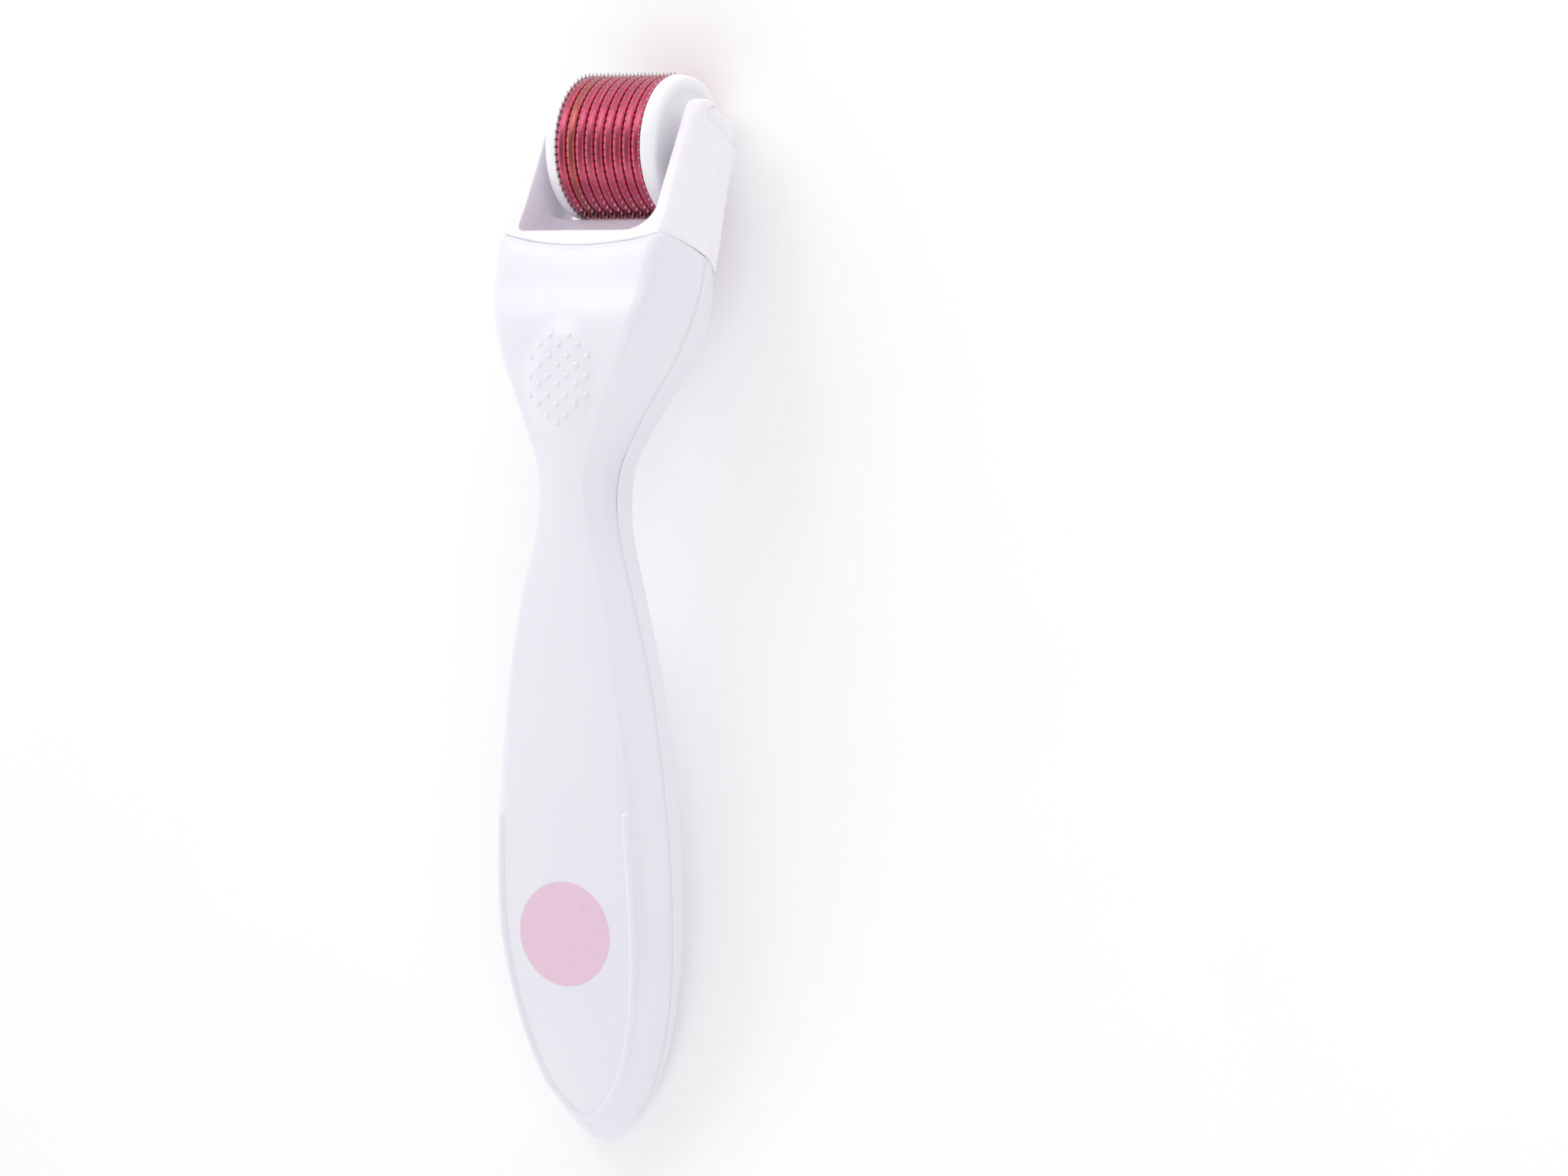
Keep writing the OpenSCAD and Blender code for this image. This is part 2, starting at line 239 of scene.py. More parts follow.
def ranged(tree, value, low, high, from_low=0.3, from_high=0.7):
    """A value carried from one range to another; noise keeps mostly between 0.3 and 0.7."""
    inputs = {"Value": value, "From Min": from_low, "From Max": from_high, "To Min": low, "To Max": high}
    return add_node(tree, "ShaderNodeMapRange", inputs).outputs[0]


def color_ramp(tree, factor, stops):
    """A ramp through stops of (position, colour)."""
    ramp = add_node(tree, "ShaderNodeValToRGB", {"Fac": factor})
    elements = ramp.color_ramp.elements
    while len(elements) < len(stops):
        elements.new(0.5)
    for element, (position, color) in zip(elements, stops):
        element.position = position
        element.color = (*color, 1)
    return ramp


def bumped(tree, shader, height, strength, distance):
    """Gives a shader a bump from a height."""
    bump = add_node(tree, "ShaderNodeBump", {"Height": height, "Strength": strength, "Distance": distance})
    tree.links.new(bump.outputs[0], shader.inputs["Normal"])


def plastic(name, color, roughness, coat=0.15):
    """Glossy moulded plastic: faint flow marks in its colour, fine mould grain in gloss and bump."""
    mat, shader, tree = new_material(name, roughness, coat=coat)
    flow = surface_noise(tree, 45, (1, 0.4, 1))
    deeper = tuple(c * f for c, f in zip(color, (0.975, 0.97, 0.985)))
    tree.links.new(mixed(tree, ranged(tree, flow, 0, 1), color, deeper), shader.inputs["Base Color"])
    grain = surface_noise(tree, 2600)
    tree.links.new(ranged(tree, grain, roughness - 0.01, roughness + 0.015), shader.inputs["Roughness"])
    bumped(tree, shader, grain, 0.01, 0.00001)
    shader.inputs["Subsurface Weight"].default_value = 0.12
    shader.inputs["Subsurface Radius"].default_value = (1.0, 0.8, 0.95)
    shader.inputs["Subsurface Scale"].default_value = 0.0006
    return mat


def turned_metal(name, color, shade, roughness, coat=0.0):
    """Metal turned on a lathe: fine lines round the axle, with slow changes of tint."""
    mat, shader, tree = new_material(name, roughness, metallic=1.0, coat=coat)
    tint = surface_noise(tree, 260)
    tree.links.new(mixed(tree, ranged(tree, tint, 0, 1), color, shade), shader.inputs["Base Color"])
    lines = surface_noise(tree, 60, (130, 1, 1), 4)
    tree.links.new(ranged(tree, lines, roughness - 0.06, roughness + 0.1), shader.inputs["Roughness"])
    bumped(tree, shader, lines, 0.12, 0.00003)
    return mat


DISC_COUNT = 10
DISC_PITCH = 1.85


def painted_reflection_bands(mat, stops):
    """Painted highlight and reflection across each ring: bands of tint from stops of (share of the way
    between two discs, factor).
    """
    tree = mat.node_tree
    shader = tree.nodes["Principled BSDF"]
    color = shader.inputs["Base Color"].links[0].from_socket
    place_at = add_node(tree, "ShaderNodeTexCoord").outputs["Object"]
    along = add_node(tree, "ShaderNodeSeparateXYZ", {"Vector": place_at}).outputs["X"]
    pitches = {0: along, 1: 1 / (DISC_PITCH * MM), 2: (DISC_COUNT - 1) / 2}
    in_pitches = add_node(tree, "ShaderNodeMath", pitches, operation="MULTIPLY_ADD").outputs[0]
    share = add_node(tree, "ShaderNodeMath", {0: in_pitches}, operation="FRACT").outputs[0]
    product = add_node(tree, "ShaderNodeMix", data_type="RGBA", blend_type="MULTIPLY")
    product.inputs[0].default_value = 1
    tree.links.new(color, product.inputs[6])
    tree.links.new(color_ramp(tree, share, stops).outputs[0], product.inputs[7])
    tree.links.new(product.outputs[2], shader.inputs["Base Color"])


shell_white = plastic("shell_white", (0.86, 0.848, 0.91), 0.3)
head_white = plastic("head_white", (0.93, 0.905, 0.96), 0.26)
drum_white = plastic("drum_white", (0.96, 0.95, 0.98), 0.3)
# Painted shade: the fork's white plastic made darker and more violet for the cradle, which lies in the drum's
# shade
painted_shade_white = plastic("painted_shade_white", (0.88, 0.82, 0.92), 0.5, 0)
ring_pink = turned_metal("ring_pink", (0.76, 0.1, 0.16), (0.66, 0.075, 0.13), 0.32, 0.2)
ring_copper = turned_metal("ring_copper", (0.66, 0.13, 0.12), (0.58, 0.09, 0.09), 0.32, 0.2)
# Painted reflection: a bright pink highlight band and a dusky grey-purple band across each ring, standing in
# for the room's reflection on its crowned outside
RING_PAINTED_REFLECTIONS = [(0, (1, 1, 1)), (0.3, (1, 1.5, 1.5)), (0.4, (0.6, 0.9, 0.95)),
              (0.7, (0.54, 0.85, 0.95)), (0.8, (0.95, 0.9, 0.95)), (1, (1, 1, 1))]
for ring_material in (ring_pink, ring_copper):
    painted_reflection_bands(ring_material, RING_PAINTED_REFLECTIONS)
needle_steel = turned_metal("needle_steel", (0.58, 0.55, 0.57), (0.44, 0.41, 0.44), 0.25)
axle_steel = turned_metal("axle_steel", (0.68, 0.68, 0.7), (0.56, 0.56, 0.6), 0.22)


def ink(name, color, shade):
    """Pad-printed ink: matt, with the faint mottle of a thin film."""
    mat, shader, tree = new_material(name, 0.42)
    mottle = surface_noise(tree, 700, detail=4)
    tree.links.new(mixed(tree, ranged(tree, mottle, 0, 1), color, shade), shader.inputs["Base Color"])
    tree.links.new(ranged(tree, mottle, 0.36, 0.5), shader.inputs["Roughness"])
    return mat


print_pink = ink("print_pink", (0.825, 0.6, 0.725), (0.8, 0.57, 0.7))

# ---------------------------------------------------------------------------------------------
# Handle shells
# ---------------------------------------------------------------------------------------------
# The edges of the right half as (x, along, out) in the handle frame, station by station from the
# seam with the head to the tip of the tail: of the front face, of the parting line, of the back.
FRONT_RAIL = [
    (14.8, -7, -1.4), (13.6, -12.6, 0.5), (12, -18.6, 1.2), (8.9, -25.6, 1.7), (6.5, -31.5, 1.6),
    (4.8, -37, 1.4), (4.45, -42.5, 1.15), (5.5, -49.5, 1.05), (8.5, -61, 1.2), (10.6, -74, 1.2),
    (11.8, -88, 1), (12.6, -103, 0.2), (12.8, -115, -1), (11.7, -126, -2.9), (9.3, -136, -5),
    (5.9, -143.2, -6.6), (0, -147.9, -7.9)]
PARTING_RAIL = [
    (18.8, -8.5, -13), (17.4, -15, -11.2), (14.9, -21, -9.8), (11.9, -26.5, -8.6), (9.3, -32.2, -7.2),
    (7.7, -37.2, -5.9), (7.2, -42.5, -5.3), (7.6, -49.5, -5.5), (10.1, -61, -6.3), (12.8, -74, -7),
    (14.6, -88, -7.6), (15.6, -103, -8.5), (15.5, -115.5, -9.6), (14.2, -127, -11.2),
    (11.4, -137.2, -12.9), (7.4, -145.5, -13.9), (0, -152, -13.6)]
BACK_RAIL = [
    (16.6, -10.5, -21), (14.6, -17, -21), (12, -23, -19.6), (9.6, -28, -17), (7.8, -33, -14.4),
    (6.5, -37.5, -12.9), (6, -42.5, -12.4), (6.4, -49.5, -12.5), (8.8, -61, -13.3), (11.4, -74, -14),
    (13.2, -88, -14.4), (14.3, -103, -14.8), (14.3, -115, -15.2), (13, -126.5, -16),
    (10.4, -136.5, -16.9), (6.6, -144, -17.3), (0, -149.2, -17.4)]
# How full the flank is at each station: hollow below 0, full at 1
SOFTNESS = [0.5, 0.35, 0.1, -0.25, -0.5, -0.6, -0.6, -0.6, -0.5, -0.3, 0.1, 0.5, 0.9, 1, 0.8, 0.7, 0.7, 0.7]
FRONT_CROWN = 0.45
BACK_CROWN = 0.9
WALL = 1.4
REVEAL = 0.1         # how far the back shell stands in behind the front one at the parting line


def seam_point(x, depth):
    """The point of the seam at x and a depth below the front face."""
    up = seam_arch(x)
    return (x, up * math.cos(LEAN) + depth * math.sin(LEAN),
            SEAM_Z - up * math.sin(LEAN) + depth * math.cos(LEAN))


def seam_along(x, z):
    """Where the seam's surface lies along the handle, over x and z."""
    up = seam_arch(x)
    depth = (z - SEAM_Z + up * math.sin(LEAN)) / math.cos(LEAN)
    return up * math.cos(LEAN) + depth * math.sin(LEAN)


front_edges = np.array([seam_point(SEAM_HALF_W - 3.5, 0.6)] + FRONT_RAIL)
parting_edges = np.array([seam_point(SEAM_HALF_W, -10.6)] + PARTING_RAIL)
back_edges = np.array([seam_point(SEAM_HALF_W - 1.4, -SEAM_DEPTH)] + BACK_RAIL)
STATIONS = len(front_edges) - 1


def on_rail(rail, k):
    """A smooth curve through a rail's points; it meets its mirror image at the tip."""
    i = min(int(k), STATIONS - 1)
    t = k - i
    b, c = rail[i], rail[i + 1]
    a = rail[i - 1] if i else 2 * b - c
    d = rail[i + 2] if i + 2 <= STATIONS else b * (-1, 1, 1)
    p = b + 0.5 * t * ((c - a) + t * (2 * a - 5 * b + 4 * c - d + t * (3 * (b - c) + d - a)))
    return p * (p[0] > 0, 1, 1)


# Half width of the rounding along the edge of a face at each station, from crisp waist to soft ends
EDGE_ROUND = [1.6, 1.6, 1.5, 1.1, 0.6, 0.4, 0.32, 0.32, 0.4, 0.7, 1.0, 1.2, 1.3, 1.3, 1.2, 1.0, 0.8, 0.5]
CLUSTER = 2.2        # a band on each side of a face's edge that gets fine columns
FACE_COLUMNS = 18
CLUSTER_COLUMNS = 16
FLANK_COLUMNS = 18
FACE_FINE = 60       # steps of the fine line that a section is taken from
FLANK_FINE = 90
EDGE_LIP = 0.12      # the rim of a shell: turned in on the back shell, turned out on the front one
LIP_DEPTH = EDGE_LIP * 0.75
SEAM_LIP = (1, 0.55, 0.25, 0.08)  # share of it in the first rows at the seam
LIP_AT = np.array([1.0, 0.8, 0.64, 0.52, 0.42, 0.33, 0.25, 0.16, 0.07, 0])
BEAD_H = 0.1         # the fine line beside the parting line: raised on the back shell, sunk in the front one
BEAD_AT = 0.42
BEAD_W = 0.17
CLOSED_AT = 16.4     # the station past which a shell is solid, over a short way
CLOSED_OVER = 0.8
THINNEST = 0.02


def at_station(values, k):
    """A value between those listed for whole stations."""
    return float(np.interp(k, range(len(values)), values))


def outline(edges, crown, k):
    """Half outline of a station as a fine line: from the middle of the face down to the parting line."""
    edge, parting = on_rail(edges, k), on_rail(parting_edges, k)
    if edges is back_edges:
        parting = parting - (min(REVEAL, 0.1 * parting[0]), 0, 0)
    soft = at_station(SOFTNESS, k)
    crown = crown * min(1, edge[0] / 3)
    q = np.linspace(0, 1, FACE_FINE)[:-1, None]
    raised = crown * (1 - q * q)
    face = edge * np.hstack([q, q * 0 + 1, q * 0 + 1]) + np.hstack([q * 0, q * 0, raised])
    out, on, down = parting - edge
    near = edge + (out * (0.33 + 0.5 * soft), on * 0.6, down * (0.33 - 0.25 * soft))
    far = edge + (out * (0.67 + 0.33 * soft), on, down * (0.67 - 0.22 * soft))
    t = np.linspace(0, 1, FLANK_FINE)[:, None]
    u = 1 - t
    flank = u ** 3 * edge + 3 * t * u ** 2 * near + 3 * t * t * u * far + t ** 3 * parting
    line = np.vstack([face, flank])
    if k < 1:
        on_surface = np.array([seam_along(x, z) for x, _, z in line])
        line[:, 1] += (on_surface - line[:, 1]) * (1 - k) ** 2
    return line, len(face)


def softened(line, width, at):
    """Points at the given lengths along a half outline, with its corners averaged over a width."""
    steps = np.linalg.norm(np.diff(line, axis=0), axis=1)
    length = np.concatenate([[0], np.cumsum(steps)])
    total = length[-1]
    whole = np.vstack([line[:0:-1] * (-1, 1, 1), line])
    s = np.concatenate([-length[:0:-1], length])
    area = np.vstack([np.zeros(3), np.cumsum((whole[1:] + whole[:-1]) / 2 * np.diff(s)[:, None], axis=0)])
    half = np.minimum(width, total - at)
    flat = half < 1e-6
    half = np.where(flat, 1, half)
    upper = np.stack([np.interp(at + half, s, area[:, i]) for i in range(3)], 1)
    lower = np.stack([np.interp(at - half, s, area[:, i]) for i in range(3)], 1)
    exact = np.stack([np.interp(at, s, whole[:, i]) for i in range(3)], 1)
    return np.where(flat[:, None], exact, (upper - lower) / (2 * half[:, None]))


def section(edges, crown, k):
    """Half outline of a station with fine columns on both sides of the face's edge."""
    line, corner = outline(edges, crown, k)
    steps = np.linalg.norm(np.diff(line, axis=0), axis=1)
    length = np.concatenate([[0], np.cumsum(steps)])
    edge_at, total = length[corner], length[-1]
    before = min(CLUSTER, 0.5 * edge_at)
    after = min(CLUSTER, 0.4 * (total - edge_at))
    at = np.concatenate([
        np.linspace(0, edge_at - before, FACE_COLUMNS)[:-1],
        np.linspace(edge_at - before, edge_at, CLUSTER_COLUMNS)[:-1],
        np.linspace(edge_at, edge_at + after, CLUSTER_COLUMNS)[:-1],
        np.linspace(edge_at + after, total - LIP_AT[0], FLANK_COLUMNS)[:-1], total - LIP_AT])
    return softened(line, at_station(EDGE_ROUND, k), at)


PANEL_LINE_START = -96.5
PANEL_LINE_ENDS = (11.25, 11.55)  # the stations round the panel line's open ends


def rows_of_stations():
    """Station values of the rows: closer round the panel line's open ends and over the tail tip."""
    even = np.arange(0, STATIONS - 1, 1 / 14)
    seam = (0.004, 0.012, 0.025, 0.045)
    line_end = np.arange(*PANEL_LINE_ENDS, 1 / 90)
    tip = np.linspace(STATIONS - 1, STATIONS - 0.0005, 56)
    return np.unique(np.concatenate([even, seam, line_end, tip]).round(5))


PANEL_LINE_HALF_W = 0.7
PANEL_LINE_H = 0.56
OVAL_CENTRE = (0, -22.4)
OVAL_HALF = (7.4, 11)
OVAL_H = 0.66
OVAL_SLOPE = 0.45    # share of the oval's radius that its slope takes up


def panel_line_heights(points):
    """How far each point moves for the line that runs round the tail's panel along its edge."""
    path = [on_rail(front_edges, k) for k in np.linspace(PANEL_LINE_ENDS[0] - 0.75, STATIONS, 900)]
    path = [p for p in path if p[1] <= PANEL_LINE_START]
    tree = KDTree(2 * len(path))
    for i, p in enumerate(path):
        tree.insert(p, 2 * i)
        tree.insert(p * (-1, 1, 1), 2 * i + 1)
    tree.balance()
    near = np.array([tree.find(p)[2] for p in points])
    inside = np.clip(1 - (near / PANEL_LINE_HALF_W) ** 2, 0, 1)
    return PANEL_LINE_H * inside ** 0.7


def oval_heights(points):
    """How far each point moves for the oval under the grip dots."""
    x, y = ((points[:, :2] - OVAL_CENTRE) / OVAL_HALF).T
    return OVAL_H * smooth(0, OVAL_SLOPE, 1 - np.hypot(x, y))


def grid_normals(grid):
    """Unit normals of a grid of points: they point into the front shell and out of the back one."""
    along = np.gradient(grid, axis=0)
    across = np.gradient(grid, axis=1)
    n = np.cross(across, along)
    return n / np.maximum(np.linalg.norm(n, axis=2, keepdims=True), 1e-9)


def inside_of(outer, halves, ks, fade):
    """The inside of the wall: the outside drawn in towards the middle of the parting line."""
    parting = halves[:, -1:]
    height = np.abs(halves[:, :1, 2] - parting[..., 2])
    keep_x = fade * np.maximum(THINNEST, 1 - WALL / np.maximum(parting[..., 0], 0.1))
    keep_z = fade * np.maximum(THINNEST, 1 - WALL / height)
    inner = outer.copy()
    inner[..., 0] *= keep_x
    inner[..., 2] = parting[..., 2] + (outer[..., 2] - parting[..., 2]) * keep_z
    for row, k in enumerate(ks[ks < 1]):
        for p in inner[row]:
            p[1] += (seam_along(p[0], p[2]) - p[1]) * (1 - k) ** 2
    return inner


def lip_depths(rows, columns):
    """How far a shell's rim moves against its normals at the parting line and the seam, less the bead."""
    turn = np.clip(1 - LIP_AT / EDGE_LIP, 0, 1)
    bead = BEAD_H * np.exp(-((LIP_AT - BEAD_AT) / BEAD_W) ** 2)
    turned = LIP_DEPTH * (1 - np.sqrt(1 - turn ** 2)) - bead
    lip = np.zeros((rows, columns))
    lip[:, -len(LIP_AT):] = turned
    lip[:, :len(LIP_AT)] = turned[::-1]
    for row, amount in enumerate(SEAM_LIP):
        lip[row] = np.maximum(lip[row], LIP_DEPTH * amount)
    return lip


def shell(name, edges, crown, node):
    """One half of the handle: its outside, with the features of its face and its rim, and its inside."""
    ks = rows_of_stations()
    halves = np.array([section(edges, crown, k) for k in ks])
    outer = np.concatenate([halves[:, :0:-1] * (-1, 1, 1), halves], axis=1)
    fade = np.clip((CLOSED_AT - ks) / CLOSED_OVER, THINNEST, 1)[:, None]
    inner = inside_of(outer, halves, ks, fade)
    normals = grid_normals(outer)
    if edges is front_edges:
        # Meant to sink in, but the normals point into this shell, so both features stand out of it
        flat = outer.reshape(-1, 3)
        raised = panel_line_heights(flat) + oval_heights(flat)
        outer = outer - normals * raised.reshape(outer.shape[:2])[..., None]
    lip = lip_depths(*outer.shape[:2])
    outer = outer - normals * (lip * np.minimum(1, fade * 4))[..., None]
    loops = np.concatenate([outer, inner[:, ::-1]], axis=1)
    points = place(loops.reshape(-1, 3), handle_matrix)
    return outward(new_object(name, points, capped_grid(loops), shell_white, "handle", node))


front = shell("front_shell", front_edges, FRONT_CROWN, "handle_front_shell")
shell("back_shell", back_edges, -BACK_CROWN, "handle_back_shell")

# ---------------------------------------------------------------------------------------------
# Grip dots and the plain printed disc on the front face
# ---------------------------------------------------------------------------------------------
handle_inverse = handle_matrix.inverted()
front_tree = BVHTree.FromPolygons([handle_inverse @ v.co for v in front.data.vertices],
                                  [tuple(p.vertices) for p in front.data.polygons])


def on_front(x, y, lift=0.0):
    """The point of the front face over (x, y), and the face's normal there, in the handle frame."""
    hit, normal, _, _ = front_tree.ray_cast(Vector((x, y, 20)), Vector((0, 0, -1)))
    return hit + normal * lift, normal


DOT_R = 0.5
DOT_H = 0.36
DOT_PITCH = 3.65
DOT_ROWS = ((-14.9, 2), (-16.4, 3), (-18.4, 4), (-19.9, 3), (-21.8, 4), (-23.2, 3), (-25.1, 4),
            (-26.5, 3), (-28.5, 2), (-29.7, 1))


def grip_dots():
    """Small domes in staggered rows, each with a soft foot that sinks into the shell."""
    profile = [(DOT_R * 1.25, -0.12), (DOT_R * 1.08, 0.02)]
    profile += [(DOT_R * across, DOT_H * up) for across, up in ((0.9, 0.45), (0.62, 0.8), (0.3, 0.97))]
    steps = 20
    points, faces = [], []
    for y, count in DOT_ROWS:
        for x in (np.arange(count) - (count - 1) / 2) * DOT_PITCH:
            foot, normal = on_front(x, y)
            turn = normal.to_track_quat("Z", "Y").to_matrix()
            start = len(points)
            for r, z in profile:
                for a in circle(steps):
                    points.append(foot + turn @ Vector((r * math.cos(a), r * math.sin(a), z)))
            faces += grid_faces(len(profile), steps, wrap=True, start=start)
            points.append(foot + turn @ Vector((0, 0, DOT_H)))
            top = len(points) - 1
            last = start + (len(profile) - 1) * steps
            faces += [(last + i, last + (i + 1) % steps, top) for i in range(steps)]
            faces.append(tuple(start + i for i in reversed(range(steps))))
    return outward(new_object("grip_dots", place(points, handle_matrix), faces, shell_white, "handle"))


grip_dots()

PRINT_R = 8.9
PRINT_T = 0.015
PRINT_SINK = 0.05    # how far its rim and its back lie inside the shell
PRINT_CENTRE = (-0.55, -116.5)


def printed_disc():
    """A thin film of ink: a disc of rings laid on the front face, with a skirt down to it."""
    radii = [PRINT_R * f for f in np.linspace(0, 1, 13)[1:]]
    steps = 96
    top, _ = on_front(*PRINT_CENTRE, PRINT_T)
    points, faces = [top], [(0, 1 + i, 1 + (i + 1) % steps) for i in range(steps)]
    for r, lift in [(r, PRINT_T) for r in radii] + [(PRINT_R + 0.01, -PRINT_SINK)]:
        for a in circle(steps):
            x = PRINT_CENTRE[0] + r * math.cos(a)
            y = PRINT_CENTRE[1] + r * math.sin(a)
            points.append(on_front(x, y, lift)[0])
    faces += grid_faces(len(radii) + 1, steps, wrap=True, start=1)
    last = 1 + len(radii) * steps
    points.append(on_front(*PRINT_CENTRE, -PRINT_SINK)[0])
    faces += [(last + (i + 1) % steps, last + i, len(points) - 1) for i in range(steps)]
    obj = outward(new_object("printed_disc", place(points, handle_matrix), faces, print_pink, "handle"))
    sharpen(obj, 25)
    return obj


printed_disc()

# ---------------------------------------------------------------------------------------------
# Fork: one loop swept round the U of the two arms and the bar, in the head frame
# ---------------------------------------------------------------------------------------------
GAP_HALF = 13.0
BAR_CORNER_R = (1.3, 5.0)  # the fork's inner corners, left and right
BAR_H = 3.3
BAR_BACK = -15.3
BAR_SHARE = 0.55     # share of the bar before its inner corner
FRONT_OUT = 0.45     # how far the bar's front stands out of the handle's
BAR_CROWN = 0.4
ARM_H = 30.4
ARM_D = 13.8
ARM_RADII = (0.45, 0.85, 1.8, 0.7)  # an arm's long edges: front in, front out, back out, back in
BACK_OUT = (1.3, 0.7)  # how far an arm stands out behind, low down and high up
SEAM_GAP = 0.15
CORNER_UP = 3.76     # where the end of the bar meets the outside of the arm
STEP_UP = 26.4       # where the outside of an arm steps in towards its tip
STEP_ROUND = 0.35
STEP_IN = 0.95
STEP_BACK = 0.5
RECESS_FRONT = 2.0   # depth of the step's front edge, before the corner at its top
RECESS_CORNER_R = 2.2
MOULD_LINE_D = (11.2, 8.3)  # its depth at the bar and at the step
MOULD_LINE_H = 0.045
MOULD_LINE_W = 0.11
EDGE_REACH = (9.4, 2.8)  # width of the soft front edge of the outside, at the bar and at the step
EDGE_IN = (3.4, 1.5)
DRAFT = 0.03
TIP_HALF_W = 16.5
ARM_FLARE = [(CORNER_UP, 19), (8, 18.55), (14, 17.8), (20, 17.1), (STEP_UP, TIP_HALF_W + 0.15),
             (ARM_H, TIP_HALF_W)]
TIP_TOP_R = 1.1
TIP_INNER_R = 1.6
TIP_FRONT_R = 3.2
TIP_BACK_R = 2.4


def arm_half_w(up):
    """Outer half width of an arm, a smooth curve through the flare."""
    ups, halves = zip(*ARM_FLARE)
    i = int(np.clip(np.searchsorted(ups, up) - 1, 0, len(ups) - 2))
    slopes = np.gradient(np.array(halves, float), np.array(ups, float))
    h = ups[i + 1] - ups[i]
    t = np.clip((up - ups[i]) / h, 0, 1)
    return ((2 * t ** 3 - 3 * t ** 2 + 1) * halves[i] + (t ** 3 - 2 * t ** 2 + t) * h * slopes[i]
            + (3 * t ** 2 - 2 * t ** 3) * halves[i + 1] + (t ** 3 - t ** 2) * h * slopes[i + 1])


def climb(up):
    """Share of the way from the bar to the step, for lines that run slanting up the outside."""
    return float(np.clip((up - CORNER_UP) / (STEP_UP - CORNER_UP), 0, 1))


def mould_line(up):
    """Depth of the fine line along the widest part of the outside."""
    return between(MOULD_LINE_D, climb(up))


def edge_inset(up, depth):
    """How far the outside is drawn in: a soft front edge, a crease behind it, and the mould line."""
    near = np.clip(1 - np.maximum(depth, 0) / between(EDGE_REACH, climb(up)), 0, 1)
    edge = between(EDGE_IN, climb(up)) * (0.72 * near ** 2.2 + 0.28 * near)
    from_line = depth - mould_line(up)
    line = MOULD_LINE_H * math.exp(-(from_line / MOULD_LINE_W) ** 2)
    return edge + DRAFT * np.minimum(abs(from_line), 6) - line


def recess(up, depth):
    """The step in the outside of the tip, with a rounded corner at its upper front."""
    above = np.clip((up - STEP_UP) / (ARM_H - 0.6 - STEP_UP), 0, 1)
    front_edge = RECESS_FRONT + RECESS_CORNER_R * (1 - math.sqrt(1 - above ** 2))
    t = np.clip((up - STEP_UP) / STEP_ROUND, 0, 1)
    shelf = 1 - math.sqrt(1 - t * t)
    return (STEP_IN - 0.4 * above) * shelf * smooth(front_edge, front_edge + 0.4, depth)


def tip_in(r, top, up):
    """How far a side has drawn in at a height under a rounded top."""
    t = np.clip((up - (top - r)) / r, 0, 1)
    return r * (1 - math.sqrt(max(0, 1 - t * t)))


def side_depths(start, line, end):
    """Depths down the outside, closer together round the recess's front and the mould line."""
    depths = np.concatenate([
        np.linspace(start, 1.7, 4)[1:], np.linspace(1.9, 4.3, 13), np.linspace(4.3, line - 0.35, 7)[1:],
        line + np.array((-0.2, -0.12, -0.06, 0, 0.06, 0.12, 0.2)), np.linspace(line + 0.35, end, 6)[:-1]])
    return np.clip(depths, start, end)


WIDEST_V = -11.0


def fork_section(inner, outer_of, front, back, radii, line):
    """One closed loop: (share across, depth) of a rounded block, mapped between the rib's two ends."""
    width = np.linalg.norm(np.subtract(outer_of(WIDEST_V), inner))
    r_front_in, r_front_out, r_back_out, r_back_in = np.minimum(radii, 0.42 * width)

    def corner(x, v, r, start):
        angles = start + np.linspace(0, math.pi / 2, 6)
        return [(x + r * math.cos(a), v + r * math.sin(a)) for a in angles]

    lo, hi = back, front
    loop = corner(width - r_front_out, hi - r_front_out, r_front_out, 0)[::-1]
    loop += [(width, -depth) for depth in side_depths(r_front_out - hi, line, -lo - r_back_out)]
    loop += corner(width - r_back_out, lo + r_back_out, r_back_out, -math.pi / 2)[::-1]
    loop += [(x, lo) for x in np.linspace(width - r_back_out, r_back_in, 5)[1:-1]]
    loop += corner(r_back_in, lo + r_back_in, r_back_in, -math.pi)[::-1]
    loop += [(0, v) for v in np.linspace(lo + r_back_in, hi - r_front_in, 10)[1:-1]]
    loop += corner(r_front_in, hi - r_front_in, r_front_in, math.pi / 2)[::-1]
    loop += [(x, hi) for x in np.linspace(r_front_in, width - r_front_out, 8)[1:-1]]
    points = []
    for x, v in loop:
        outer = np.array(outer_of(v))
        p = np.array(inner) + (outer - inner) * (x / width)
        points.append((p[0], p[1], v))
    return points


